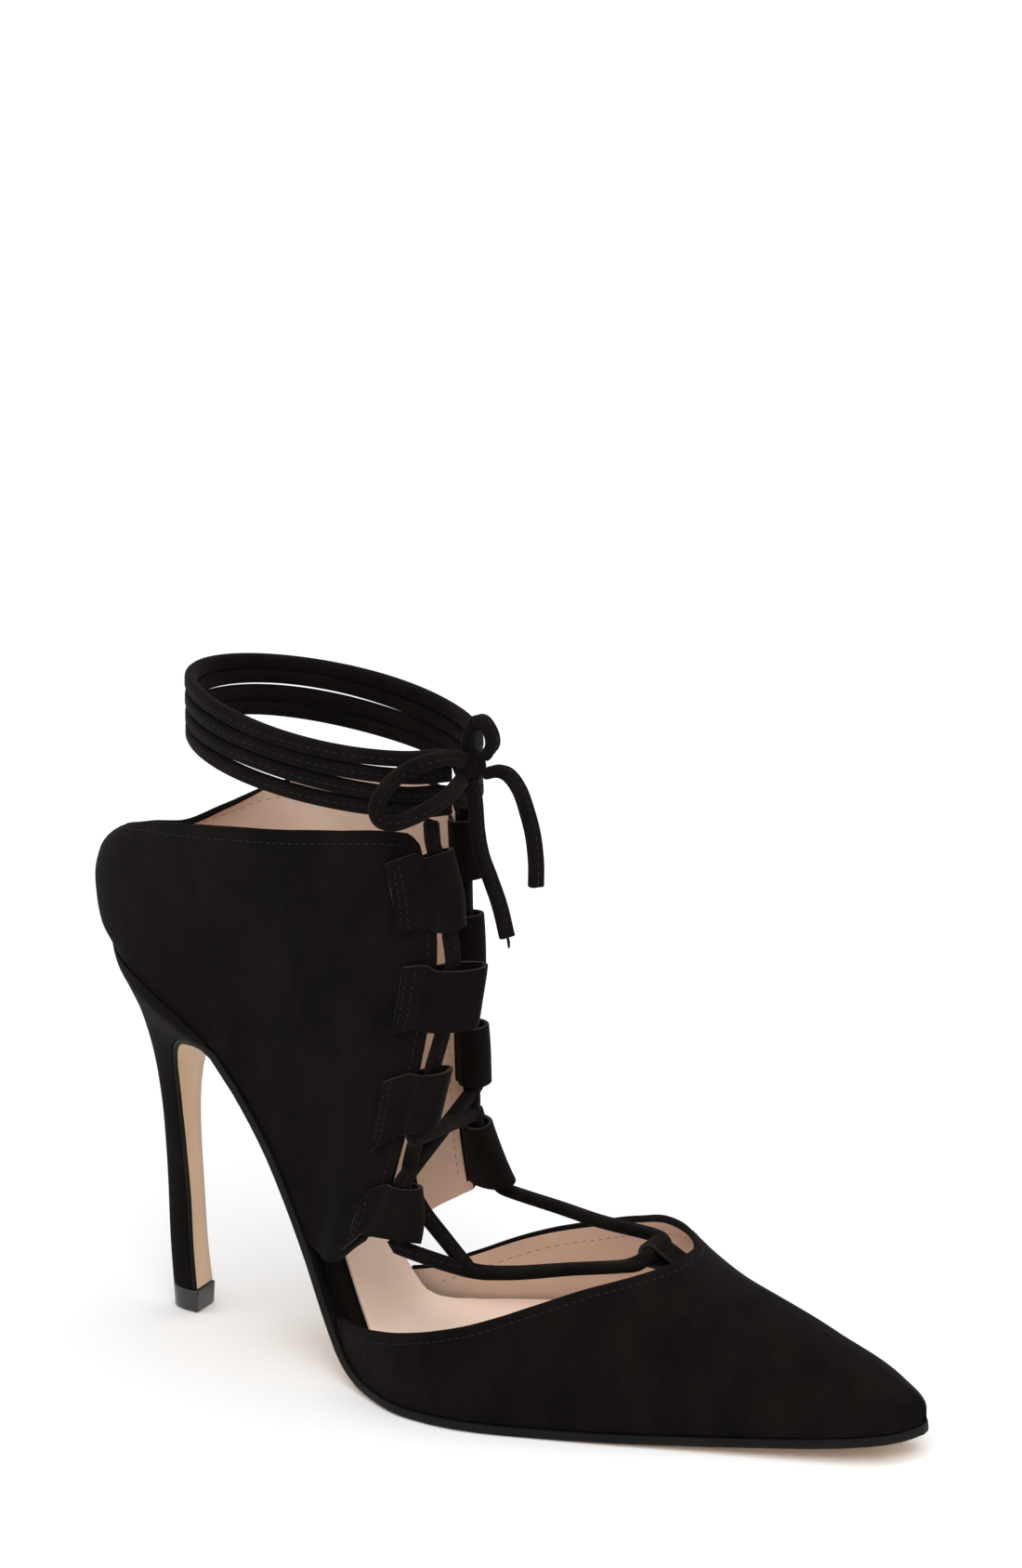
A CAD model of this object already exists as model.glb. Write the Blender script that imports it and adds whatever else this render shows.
"""Looks of the lace up heel: suede, lining, stitches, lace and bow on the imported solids.

Metres, in the solids' own frame: X runs from the heel to the toe, Y to the inner side, Z up.
"""

import math

import bmesh
import bpy
import numpy as np
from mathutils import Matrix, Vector

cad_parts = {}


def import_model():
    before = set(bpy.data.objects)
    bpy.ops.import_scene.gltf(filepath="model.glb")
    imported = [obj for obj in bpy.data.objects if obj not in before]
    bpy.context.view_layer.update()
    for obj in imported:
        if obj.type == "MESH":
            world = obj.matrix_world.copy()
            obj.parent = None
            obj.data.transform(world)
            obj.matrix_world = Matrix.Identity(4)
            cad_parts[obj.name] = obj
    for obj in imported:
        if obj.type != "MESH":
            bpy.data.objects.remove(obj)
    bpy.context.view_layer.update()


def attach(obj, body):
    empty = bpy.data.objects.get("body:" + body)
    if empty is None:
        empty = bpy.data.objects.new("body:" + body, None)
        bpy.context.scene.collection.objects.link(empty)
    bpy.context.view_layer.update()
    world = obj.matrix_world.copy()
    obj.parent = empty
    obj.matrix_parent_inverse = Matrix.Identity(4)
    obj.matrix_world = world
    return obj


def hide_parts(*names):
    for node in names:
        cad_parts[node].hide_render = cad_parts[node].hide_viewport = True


# Sizes of the last
LENGTH = 0.2285  # sole line, back of the seat to the tip of the toe, seen from above
SEAT_BACK_X = -0.0185  # back of the seat, behind the middle of the heel tip
BALL_WIDTH = 0.078
HEEL_HEIGHT = 0.101  # floor to the sole line at the back of the seat
TOE_SPRING = 0.0058
THROAT_HEIGHT = 0.046  # floor to the vamp's topline at its middle
COLLAR_HEIGHT = 0.148  # floor to the collar at the front of the quarter

# Materials' thicknesses
SOLE_THICK = 0.0025
INSOLE_THICK = 0.0030
SOCK_THICK = 0.0010
WALL = 0.0018
SUEDE_STRIP = 0.0011
GAP = 0.0003
SOLE_MARGIN = 0.0008  # the sole shows this far outside the upper
OUTER_RIM, INNER_RIM = 0.0055, 0.0015  # covered insole edge that shows beside the sock at the open waist
INNER_WAIST_INSET = 0.0012  # the insole's inner edge is drawn in here, beside the heel's breast
SQUARENESS = 0.88  # below 1 the vamp's sections are fuller than an ellipse
# The vamp's wall along X at the toe, across and upwards, where it is met at a slant, as shares of WALL
TOE_SLANT, SIDE_SLANT, RIDGE_SLANT = 1.60, 1.08, 1.15

# Heel
TIP_HEIGHT = 0.0063
TIP_LENGTH = 0.0096
TIP_WIDTH = 0.0090
HEEL_ROUND = 0.75  # power that rounds the back of the heel's sections

# Lace
LACE = 0.0036
TAB_SEAM = 0.0090  # how far back on the quarter a tab is sewn
TAB_REACH = 0.0100  # how far a tab's loop stands in front of the quarter
TAB_BULGE = 0.0036
TAB_INSIDE = 0.0012  # how far back a tab's inner leaf shows on the lining
LOOP_WIDTH = 0.0066
LOOP_TUCK = 0.0040  # how far the throat loop's ends lie under the vamp
SEAM_GAP = 0.0005  # air between the tabs and the quarter, and round the lace in its loop

UPPER_LIFT = SOLE_THICK + GAP
INSOLE_LIFT = SOLE_THICK + GAP
SOCK_LIFT = INSOLE_LIFT + INSOLE_THICK + GAP

# Sole line from the side: share of LENGTH, share of HEEL_HEIGHT
PROFILE = (
    (0.000, 1.000), (0.028, 0.977), (0.063, 0.944), (0.098, 0.903), (0.133, 0.857), (0.160, 0.814),
    (0.186, 0.752), (0.212, 0.666), (0.239, 0.558), (0.265, 0.432), (0.287, 0.315), (0.304, 0.218),
    (0.322, 0.131), (0.339, 0.069), (0.361, 0.030), (0.387, 0.010), (0.422, 0.0015), (0.449, 0.000),
    (1.000, 0.000),
)
# Rise of the toe: share of LENGTH, share of TOE_SPRING
SPRING = (
    (0.000, 0.00), (0.606, 0.00), (0.670, 0.05), (0.760, 0.20), (0.847, 0.42), (0.912, 0.62),
    (0.965, 0.84), (1.000, 1.00),
)
# Sole edge from above: share of LENGTH, outer and inner edge as shares of BALL_WIDTH
OUTLINE = (
    (0.0000, -0.045, 0.045), (0.0044, -0.100, 0.100), (0.0153, -0.162, 0.162), (0.0330, -0.210, 0.210),
    (0.0630, -0.255, 0.250), (0.1070, -0.282, 0.272), (0.1510, -0.290, 0.263), (0.1950, -0.287, 0.231),
    (0.2470, -0.280, 0.192), (0.2910, -0.285, 0.192), (0.3260, -0.310, 0.231), (0.3520, -0.346, 0.276),
    (0.3920, -0.404, 0.353), (0.4490, -0.469, 0.449), (0.4840, -0.482, 0.494), (0.5190, -0.478, 0.513),
    (0.5540, -0.459, 0.515), (0.6060, -0.415, 0.491), (0.6720, -0.358, 0.431), (0.7590, -0.277, 0.349),
    (0.8470, -0.197, 0.272), (0.9120, -0.138, 0.215), (0.9560, -0.087, 0.180), (0.9800, -0.040, 0.158),
    (0.9935, 0.015, 0.134), (1.0000, 0.058, 0.103),
)
# Top line of the last from the ball to the toe: share of LENGTH, share of THROAT_HEIGHT
RIDGE = (
    (0.317, 2.270), (0.343, 2.170), (0.409, 1.910), (0.475, 1.680), (0.541, 1.467), (0.593, 1.304),
    (0.650, 1.150), (0.694, 1.010), (0.720, 0.925), (0.759, 0.825), (0.799, 0.748), (0.847, 0.650),
    (0.899, 0.533), (0.939, 0.440), (0.969, 0.362), (0.987, 0.318), (0.9945, 0.292), (0.998, 0.262),
    (1.000, 0.192),
)
# How far the ridge leans to the inner side near the toe: share of LENGTH, share of the half width
RIDGE_LEAN = (
    (0.00, 0.00), (0.76, 0.00), (0.88, 0.22), (0.96, 0.50), (1.00, 0.50),
)
# Vamp from its middle (0) to the end of its wing (1): place, share of LENGTH of the lower edge,
# share of LENGTH of the topline, height of the outer and inner topline as shares of THROAT_HEIGHT
VAMP = (
    (0.00, 1.000, 0.720, 0.925, 0.925), (0.04, 0.995, 0.7135, 0.915, 0.930),
    (0.12, 0.972, 0.694, 0.890, 0.935), (0.25, 0.915, 0.650, 0.830, 0.900),
    (0.42, 0.800, 0.593, 0.720, 0.790), (0.60, 0.640, 0.523, 0.580, 0.655),
    (0.75, 0.510, 0.449, 0.468, 0.535), (0.88, 0.410, 0.387, 0.385, 0.415),
    (0.95, 0.362, 0.352, 0.350, 0.360), (1.00, 0.325, 0.325, 0.350, 0.350),
)
# How the vamp's points crowd towards its ridge: place, power
VAMP_CROWDING = (
    (0.00, 0.20), (0.08, 0.34), (0.20, 0.62), (0.42, 0.95), (0.60, 1.00), (1.00, 1.00),
)
# Lower edge of the quarter where it follows the sole: place, share of LENGTH
QUARTER_ON_SOLE = (
    (0.06, 0.0044), (0.12, 0.0153), (0.19, 0.0330), (0.27, 0.0630), (0.37, 0.1070), (0.46, 0.1510),
    (0.55, 0.1950), (0.66, 0.2470), (0.74, 0.2850),
)
# Lower edge in front of that, columns as in COLLAR
QUARTER_FREE = (
    (0.84, 0.330, -0.328, 0.222, 0.335, 0.222, 0.210),
    (0.93, 0.362, -0.352, 0.259, 0.376, 0.235, 0.246),
)
# Collar from the back (0) to the front (1): place, outer X, Y and height, inner X, Y and height;
# X as shares of LENGTH, Y of BALL_WIDTH, height of COLLAR_HEIGHT
COLLAR = (
    (0.00, 0.021, 0.000, 0.893, 0.021, 0.000, 0.893), (0.08, 0.026, -0.080, 0.904, 0.027, 0.070, 0.887),
    (0.16, 0.043, -0.150, 0.920, 0.050, 0.128, 0.884),
    (0.27, 0.088, -0.230, 0.942, 0.092, 0.205, 0.912),
    (0.39, 0.142, -0.300, 0.960, 0.142, 0.277, 0.950),
    (0.55, 0.212, -0.359, 0.979, 0.208, 0.323, 0.978),
    (0.70, 0.282, -0.378, 0.993, 0.274, 0.310, 0.993),
    (0.84, 0.352, -0.365, 1.007, 0.335, 0.256, 1.007),
    (0.94, 0.405, -0.327, 1.014, 0.383, 0.186, 1.014),
    (0.98, 0.431, -0.292, 1.011, 0.407, 0.138, 1.011),
    (1.00, 0.442, -0.276, 0.993, 0.420, 0.109, 0.993),
)
# Front edge of the quarter from its foot (0) to the collar (1), columns as in COLLAR
FRONT = (
    (0.00, 0.379, -0.359, 0.284, 0.414, 0.231, 0.284),
    (0.10, 0.405, -0.346, 0.351, 0.416, 0.199, 0.351),
    (0.20, 0.418, -0.327, 0.426, 0.417, 0.173, 0.426),
    (0.32, 0.431, -0.308, 0.514, 0.418, 0.154, 0.514),
    (0.47, 0.444, -0.295, 0.615, 0.419, 0.141, 0.615),
    (0.60, 0.455, -0.288, 0.709, 0.419, 0.128, 0.709),
    (0.75, 0.462, -0.282, 0.811, 0.419, 0.122, 0.811),
    (0.87, 0.460, -0.279, 0.892, 0.420, 0.115, 0.892),
    (1.00, 0.442, -0.276, 0.993, 0.420, 0.109, 0.993),
)
FRONT_RISE = COLLAR_HEIGHT * (FRONT[-1][3] - FRONT[0][3])
# Back of the counter from the seat (0) to the collar (1): place, share of LENGTH, share of the way up
COUNTER = (
    (0.00, 0.000, 0.00), (0.17, -0.022, 0.15), (0.35, -0.030, 0.34), (0.52, -0.033, 0.53),
    (0.72, -0.026, 0.76), (0.88, -0.006, 0.93), (1.00, 0.017, 1.00),
)
# Heel sections from the tip up: back and front X, their heights, half width;
# X as shares of LENGTH from the tip's middle, heights of HEEL_HEIGHT, width of BALL_WIDTH
HEEL = (
    (-0.0212, 0.0240, 0.000, 0.000, 0.058), (-0.0250, 0.0220, 0.140, 0.140, 0.053),
    (-0.0266, 0.0200, 0.300, 0.300, 0.051), (-0.0296, 0.0160, 0.470, 0.460, 0.059),
    (-0.0347, 0.0160, 0.605, 0.590, 0.077), (-0.0420, 0.0200, 0.725, 0.680, 0.113),
    (-0.0534, 0.0394, 0.845, 0.750, 0.177), (-0.0665, 0.0600, 0.938, 0.785, 0.241),
    (-0.0800, 0.0840, 1.010, 0.810, 0.287), (-0.0845, 0.0860, 1.070, 0.860, 0.292),
)
# Sole leather that runs on down the front of the heel, tip to waist: place, X and height (shares as in
# HEEL), outer and inner edge (shares of BALL_WIDTH), thickness (share of SOLE_THICK)
BREAST = (
    (0.00, 0.0190, 0.000, -0.056, 0.056, 0.48), (0.12, 0.0145, 0.120, -0.052, 0.052, 0.48),
    (0.27, 0.0118, 0.275, -0.050, 0.050, 0.48), (0.42, 0.0079, 0.430, -0.055, 0.055, 0.48),
    (0.55, 0.0057, 0.560, -0.068, 0.068, 0.48), (0.63, 0.0070, 0.645, -0.090, 0.088, 0.48),
    (0.71, 0.0131, 0.715, -0.125, 0.122, 0.52), (0.79, 0.0271, 0.762, -0.175, 0.168, 0.60),
    (0.87, 0.0481, 0.786, -0.230, 0.215, 0.72), (0.94, 0.0700, 0.794, -0.264, 0.226, 0.86),
    (1.00, 0.0897, 0.778, -0.286, 0.228, 1.00),
)
WAIST_START = 0.199  # share of LENGTH where the sole leaves the heel's breast
FOREPART_START = 0.398  # share of LENGTH from which the insole fits inside the vamp
# Places along LENGTH where the bottom pieces have sections
SOLE_SHARES = np.concatenate([
    np.linspace(0.0, WAIST_START, 14)[:-1],
    np.linspace(WAIST_START, 0.46, 26),
    np.linspace(0.49, 0.90, 16),
    [0.93, 0.956, 0.972, 0.985, 0.9935, 1.0],
])

# Tabs, top to bottom, each with its lower and its upper edge: place on the quarter's front edge, seam
# (share of TAB_SEAM), reach (share of TAB_REACH), rise from seam to fold, pull towards the middle of
# the foot (share of the reach), and where the lace lies in the loop (share of the reach)
TABS_OUTER = (
    ("tab_outer_1", (0.785, 1.15, 0.70, 0.0042, 0.00, 0.46), (0.940, 1.30, 0.70, 0.0064, 0.00, 0.46)),
    ("tab_outer_2", (0.535, 0.98, 1.25, 0.0033, 0.00, 0.32), (0.700, 0.93, 1.25, 0.0024, 0.00, 0.32)),
    ("tab_outer_3", (0.250, 0.95, 0.82, 0.0055, 0.00, 0.42), (0.420, 0.98, 0.82, 0.0037, 0.00, 0.42)),
    ("tab_outer_4", (0.012, 0.88, 1.45, 0.0010, 0.10, 0.68), (0.160, 0.98, 0.72, -0.0010, 0.10, 0.48)),
)
TABS_INNER = (
    ("tab_inner_1", (0.830, 1.00, 0.75, 0.0030, 0.00, 0.44), (0.970, 1.00, 0.75, 0.0030, 0.00, 0.44)),
    ("tab_inner_2", (0.580, 1.00, 0.72, 0.0020, 0.00, 0.46), (0.740, 1.00, 0.72, 0.0020, 0.00, 0.46)),
    ("tab_inner_3", (0.295, 1.00, 0.80, 0.0010, 0.10, 0.42), (0.457, 1.00, 0.80, 0.0010, 0.10, 0.42)),
    ("tab_inner_4", (0.020, 1.00, 1.75, 0.0050, 0.40, 0.66), (0.190, 1.00, 1.00, 0.0020, 0.40, 0.50)),
)
# Section of a tab's loop: share of the reach, share of TAB_BULGE across
TAB_LOOP = ((0.22, 0.88), (0.50, 1.00), (0.78, 0.86), (0.95, 0.50), (1.00, 0.00))

# Ankle wraps: middle, half sizes, slopes along X and Y, and the strands' heights above the middle on
# the outer and the inner side
WRAP_MIDDLE = (0.0457, -0.0005, 0.1651)
WRAP_HALF = (0.0382, 0.0290)
WRAP_SLOPE = (-0.151, -0.036)
WRAP_OUTER_SIDE = (-0.0066, -0.0022, 0.0022, 0.0066)
WRAP_INNER_SIDE = (-0.0062, -0.0023, 0.0023, 0.0062)
WRAP_POINTS = 20  # points on one turn
FIRST_LEVELS = {"wrap_lower": 0, "wrap_upper": 2}  # each takes this strand's place, then the one above
WRAP_ENDS = (14, 722)  # degrees round the ankle from its front, both behind the knot
CLIMB = (358, 376)
KNOT_MIDDLE = (0.08905, -0.0085, 0.1655)

# Routes of the free ends and of the bow, in metres
BOW_LARGE = (
    (0.0902, -0.0136, 0.1682), (0.0886, -0.0168, 0.1696), (0.0837, -0.0215, 0.1689),
    (0.0794, -0.0255, 0.1665), (0.0767, -0.0290, 0.1630), (0.0754, -0.0310, 0.1588),
    (0.0764, -0.0310, 0.1558), (0.0798, -0.0300, 0.1551), (0.0839, -0.0285, 0.1568),
    (0.0878, -0.0250, 0.1592), (0.0900, -0.0200, 0.1615), (0.0900, -0.0138, 0.1634),
)
BOW_SMALL = (
    (0.0891, -0.0092, 0.1706), (0.0896, -0.0095, 0.1730), (0.0908, -0.0100, 0.1758),
    (0.0937, -0.0105, 0.1783), (0.0962, -0.0105, 0.1756), (0.0966, -0.0103, 0.1724),
    (0.0943, -0.0094, 0.1692),
)
END_LONG = (
    (0.0944, -0.0090, 0.1644), (0.0980, -0.0096, 0.1656), (0.1013, -0.0101, 0.1650),
    (0.1047, -0.0110, 0.1618), (0.1074, -0.0120, 0.1566), (0.1089, -0.0120, 0.1511),
    (0.1097, -0.0120, 0.1445), (0.1097, -0.0120, 0.1384),
)
END_SHORT = (
    (0.0896, -0.0086, 0.1606), (0.0906, -0.0086, 0.1575), (0.0909, -0.0085, 0.1545),
    (0.0911, -0.0080, 0.1483), (0.0921, -0.0075, 0.1420), (0.0942, -0.0070, 0.1361),
    (0.0968, -0.0070, 0.1295), (0.0989, -0.0070, 0.1217),
)
# Lace from the throat loop to the lowest tabs, and where it ends under the wraps
THROAT_PASS = ((0.1360, 0.0074, 0.0412), (0.1362, 0.0026, 0.0412), (0.1360, -0.0022, 0.0412))
RUN_OUTER = (
    (0.1326, -0.0052, 0.0394), (0.1170, -0.0070, 0.0360), (0.1020, -0.0120, 0.0338),
    (0.0920, -0.0165, 0.0345),
)
RUN_INNER = ((0.1326, 0.0104, 0.0418), (0.1180, 0.0082, 0.0436), (0.1060, 0.0084, 0.0450))
RUN_SECOND = (
    (0.0930, -0.0160, 0.0343), (0.0862, -0.0165, 0.0415), (0.0800, -0.0175, 0.0490),
    (0.0770, -0.0188, 0.0570),
)
TOP_OUTER = (0.0812, -0.0138, 0.1505)
TOP_INNER = (0.0830, 0.0060, 0.1502)

# Looks, in metres. A row of stitches: half thickness and length of a stitch, pitch, distance from the edge
THREAD, LINING_THREAD, LACE_THREAD, FIBRE_HALF = 0.00017, 0.00013, 0.00015, 0.00022
STITCH, TAB_STITCH, LINING_STITCH, FIBRE_LENGTH = 0.0015, 0.0013, 0.0017, 0.0034
SEAM_PITCH, FRONT_PITCH, TAB_PITCH, LINING_PITCH, LACE_PITCH = 0.0021, 0.0024, 0.0019, 0.0026, 0.0023
VAMP_SEAM, COLLAR_SEAM, FRONT_SEAM = 0.0022, 0.0026, 0.0024
VAMP_LINING_SEAM, COLLAR_LINING_SEAM, FRONT_LINING_SEAM = 0.0042, 0.0048, 0.0046
TAB_SEAMS = ((0.0012, 1), (0.0030, 0))  # distance from a tab's rear end, points left off at each end
STITCH_SIDES = 5
# A stitch from end to end: share of its length, share of its radius, rise in radii
STITCH_SHAPE = (
    (-0.5, 0.30, -0.5), (-0.30, 0.95, 0.05), (0.0, 1.0, 0.28), (0.30, 0.95, 0.05), (0.5, 0.30, -0.5),
)
RIM_STEPS, RIM_CROWN = 3, 0.8  # points over a wall's rounded top, and its height in half walls
SOLE_BEVEL = 0.0006
HEEL_SECTIONS, HEEL_POINTS, TIP_POINTS = 64, 45, 41
SEAT_END = 0.22  # share of LENGTH that the heel seat is shaped to
CUTTER_REACH = 0.03  # how far a cutter goes past what it cuts
# Top piece from below: height, share of its full size
TOP_PIECE = ((0, 0.90), (0.0004, 0.95), (TIP_HEIGHT - 0.0003, 1.0), (TIP_HEIGHT, 0.97))
# Where the insole shows beside the sock: share of LENGTH, share of OUTER_RIM and INNER_RIM
SOCK_RIM = ((0, 0), (0.22, 0), (0.28, 1), (0.35, 1), (0.43, 0), (1, 0))
TAB_POINTS, TAB_SWELL = 56, 0.00025
LACE_WIDE, LACE_THIN = 0.0040, 0.0031  # the lace is a strip folded flat and sewn along its middle
WRAP_WAVER = 0.00035  # how far a wrap's strands rise and fall on their way round
THREAD_SINK = 0.90  # share of the lace's half thickness at which its thread lies
KNOT_BAND, KNOT_STRAND = (0.0044, 0.0024), (0.0036, 0.0030)  # width and thickness
ANKLE_X = 0.045  # the lace's flat side faces away from the ankle's middle
# Fibres at the short end's tip: side of the lace, lean, reach
FIBRES = (
    (-1.0, -0.55, 0.0010), (-0.5, -0.15, 0.0013), (0.1, 0.10, 0.0009), (0.6, 0.35, 0.0012),
    (1.0, 0.80, 0.0006),
)
# Soft troughs (depth above 0) and ridges (below 0) of the worn suede, placed by hand:
# middle, direction, half length, half width, depth
VAMP_CREASES = (
    ((0.112, -0.030, 0.026), (0.3, -0.2, 1.0), 0.012, 0.006, 0.00035),
    ((0.124, -0.027, 0.024), (0.4, -0.1, 1.0), 0.011, 0.005, -0.00025),
    ((0.148, -0.016, 0.026), (0.9, -0.3, 0.3), 0.016, 0.006, 0.00025),
    ((0.092, -0.036, 0.018), (1.0, 0.1, 0.1), 0.016, 0.005, 0.00030),
)
QUARTER_CREASES = (
    ((0.030, -0.024, 0.112), (0.8, -0.2, 0.6), 0.022, 0.010, 0.00045),
    ((0.046, -0.026, 0.092), (0.7, -0.1, -0.7), 0.020, 0.009, -0.00035),
    ((0.008, -0.016, 0.124), (0.3, -0.9, 0.5), 0.016, 0.008, 0.00040),
    ((0.060, -0.026, 0.066), (0.2, 0.0, 1.0), 0.018, 0.007, 0.00035),
    ((0.030, 0.022, 0.112), (0.8, 0.2, 0.6), 0.022, 0.010, 0.00040),
)
# Places of the fine points of the vamp, from its middle to the end of its wing, and of the quarter
VAMP_PLACES = np.concatenate([
    [0], np.linspace(0.003, 0.16, 34), np.linspace(0.17, 0.93, 62), np.linspace(0.94, 1, 8),
])
VAMP_UP = np.concatenate([np.linspace(0, 0.12, 9)[:-1], np.linspace(0.12, 1, 44)])
QUARTER_ALONG = np.concatenate([[0], np.linspace(0.012, 1, 92)])
QUARTER_UP = np.concatenate([np.linspace(0, 0.94, 52), np.linspace(0.955, 1, 6)])
SEAT_SHARES = np.array([0.018, 0.019, 0.0205, 0.0225, 0.026, 0.030])  # insole's rounded rear end
# Camera: degrees round and down, distance and aim
CAMERA_ANGLES = (28.46, 17.85)
CAMERA_DISTANCE = 1.4
CAMERA_AIM = (0.09619, 0.0, 0.1593)
CAMERA_LENS = 129.56  # millimetres, on a frame 36 high
# Studio: floor, the surround's strength, the sun's strength and spread, and lamps with place, size, watts
FLOOR_SIZE, FLOOR_Z = 8.0, -0.0001
SURROUND, SUN_STRENGTH, SUN_SPREAD = 0.54, 1.95, 75
LAMPS = (("key", (0.70, -0.85, 1.05), 0.7, 3.2), ("fill", (-0.75, -0.65, 0.75), 0.8, 1.2))
LAMP_AIM = (0.06, 0, 0.08)


def smooth(rows, at):
    """Read a table at one or more places, by a monotone cubic through its rows."""
    rows = np.array(rows, float)
    place, value = rows[:, 0], rows[:, 1:]
    step = np.diff(place)[:, None]
    slope = np.diff(value, axis=0) / step
    before, after = slope[:-1], slope[1:]
    w1, w2 = 2 * step[1:] + step[:-1], step[1:] + 2 * step[:-1]
    same_way = before * after > 0
    mean = (w1 + w2) / (w1 / np.where(same_way, before, 1) + w2 / np.where(same_way, after, 1))
    tangent = np.vstack([slope[:1], np.where(same_way, mean, 0), slope[-1:]])
    at = np.clip(np.atleast_1d(at), place[0], place[-1])
    i = np.clip(np.searchsorted(place, at, side="right") - 1, 0, len(place) - 2)
    t = ((at - place[i]) / (place[i + 1] - place[i]))[:, None]
    return (
        (1 + 2 * t) * (1 - t) ** 2 * value[i]
        + t * (1 - t) ** 2 * step[i] * tangent[i]
        + t * t * (3 - 2 * t) * value[i + 1]
        + t * t * (t - 1) * step[i] * tangent[i + 1]
    )


def unit(v):
    return v / np.maximum(np.linalg.norm(v, axis=-1, keepdims=True), 1e-12)


def run_along(points):
    """How far along a line each of its points lies."""
    return np.concatenate([[0], np.cumsum(np.linalg.norm(np.diff(points, axis=0), axis=1))])


def through(points, count):
    """Evenly spaced places on a smooth curve through the route's points."""
    points = np.array(points, float)
    ends = np.vstack([2 * points[0] - points[1], points, 2 * points[-1] - points[-2]])
    t = np.linspace(0, 1, 12, endpoint=False)[:, None]
    fine = []
    for a, b, c, d in zip(ends[:-3], ends[1:-2], ends[2:-1], ends[3:]):
        bend = (2 * a - 5 * b + 4 * c - d) * t**2 + (3 * b - a - 3 * c + d) * t**3
        fine.append(0.5 * (2 * b + (c - a) * t + bend))
    fine = np.vstack([*fine, points[-1:]])
    along = run_along(fine)
    at = np.linspace(0, along[-1], count)
    return np.stack([np.interp(at, along, fine[:, k]) for k in range(3)], axis=1)


def sole_line(share, lift=0.0):
    """X and Z of the sole's underside, raised square to it by lift."""
    share = np.atleast_1d(share).astype(float)
    nudge = 0.002

    def line(s):
        z = HEEL_HEIGHT * smooth(PROFILE, s)[:, 0] + TOE_SPRING * smooth(SPRING, s)[:, 0]
        return np.stack([SEAT_BACK_X + LENGTH * s, z], axis=1)

    ahead, behind = np.clip(share + nudge, 0, 1), np.clip(share - nudge, 0, 1)
    along = unit(line(ahead) - line(behind))
    return line(share) + lift * np.stack([-along[:, 1], along[:, 0]], axis=1)


def sole_edges(share):
    """Outer and inner Y of the sole."""
    return BALL_WIDTH * smooth(OUTLINE, share)


def vamp_section(share):
    """For each share of LENGTH: X, height of the lower edge, rise to the ridge, middle Y, half width."""
    base = sole_line(share, UPPER_LIFT)
    edges = sole_edges(share)
    ridge = THROAT_HEIGHT * smooth(RIDGE, (base[:, 0] - SEAT_BACK_X) / LENGTH)[:, 0]
    half = (edges[:, 1] - edges[:, 0]) / 2 - SOLE_MARGIN
    return base[:, 0], base[:, 1], ridge - base[:, 1], edges.mean(axis=1), half


def vamp_point(share, angle, inset=0.0):
    """Points of the vamp; the angle runs from 0 at the outer edge over the ridge to pi.

    With an inset they lie on its inside, and the toe's end is drawn back.
    """
    draw_back = TOE_SLANT * inset / LENGTH * smooth(((0, 0), (0.90, 0), (1, 1)), share)[:, 0]
    x, base, rise, middle, half = vamp_section(share - draw_back)
    half, rise = half - SIDE_SLANT * inset, np.maximum(rise - RIDGE_SLANT * inset, 0.0004)
    across = np.sign(np.cos(angle)) * np.abs(np.cos(angle)) ** SQUARENESS
    lean = smooth(RIDGE_LEAN, share - draw_back)[:, 0] * np.sin(angle)
    return np.stack([x, middle - half * (across - lean), base + rise * np.sin(angle)], axis=1)


def foot_edges(share, top):
    """Outer and inner Y that fit inside the upper, for a piece whose top is lifted by top."""
    edges = sole_edges(share)
    inset = SOLE_MARGIN + WALL + 3 * GAP
    fitted = edges + np.array([inset, -inset])
    _, _, rise, middle, half = vamp_section(share)
    angle = np.arcsin(np.clip((top - UPPER_LIFT) / rise, 0, 1))
    inner = half * np.cos(angle) ** SQUARENESS - WALL * RIDGE_SLANT - 3 * GAP
    waist = smooth(((0, 0), (0.12, 0), (0.19, 1), (0.25, 1), (0.31, 0), (1, 0)), share)[:, 0]
    fitted[:, 1] -= INNER_WAIST_INSET * waist
    middle = middle + half * smooth(RIDGE_LEAN, share)[:, 0] * np.sin(angle)
    closed = np.array([np.maximum(fitted[:, 0], middle - inner), np.minimum(fitted[:, 1], middle + inner)]).T
    return np.where(np.atleast_1d(share)[:, None] > FOREPART_START, closed, fitted)


def quarter_border(side, rows):
    """Places and points of one border table on the outer (0) or inner (1) side."""
    rows = np.array(rows, float)
    x, y, z = rows[:, 1 + 3 * side : 4 + 3 * side].T
    return np.column_stack([rows[:, 0], SEAT_BACK_X + LENGTH * x, BALL_WIDTH * y, COLLAR_HEIGHT * z])


def quarter_foot(side):
    """The quarter's lower edge: on the sole up to the waist, then free to the front corner."""
    place, share = np.array(QUARTER_ON_SOLE).T
    base = sole_line(share, UPPER_LIFT)
    inward = (SOLE_MARGIN, -SOLE_MARGIN)[side]
    on_sole = np.column_stack([place, base[:, 0], sole_edges(share)[:, side] + inward, base[:, 1]])
    back = sole_line(0, UPPER_LIFT)[0]
    start = (0, back[0], 0, back[1])
    corner = quarter_border(side, FRONT)[0]
    corner[0] = 1
    return np.vstack([start, on_sole, quarter_border(side, QUARTER_FREE), corner])


def quarter_counter():
    """The back seam from the seat to the collar."""
    place, share, way = np.array(COUNTER).T
    low = sole_line(0, UPPER_LIFT)[0]
    high = quarter_border(0, COLLAR)[0]
    x = low[0] + LENGTH * share
    x[-1] = high[1]
    return np.column_stack([place, x, np.zeros(len(x)), low[1] + (high[3] - low[1]) * way])


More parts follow.
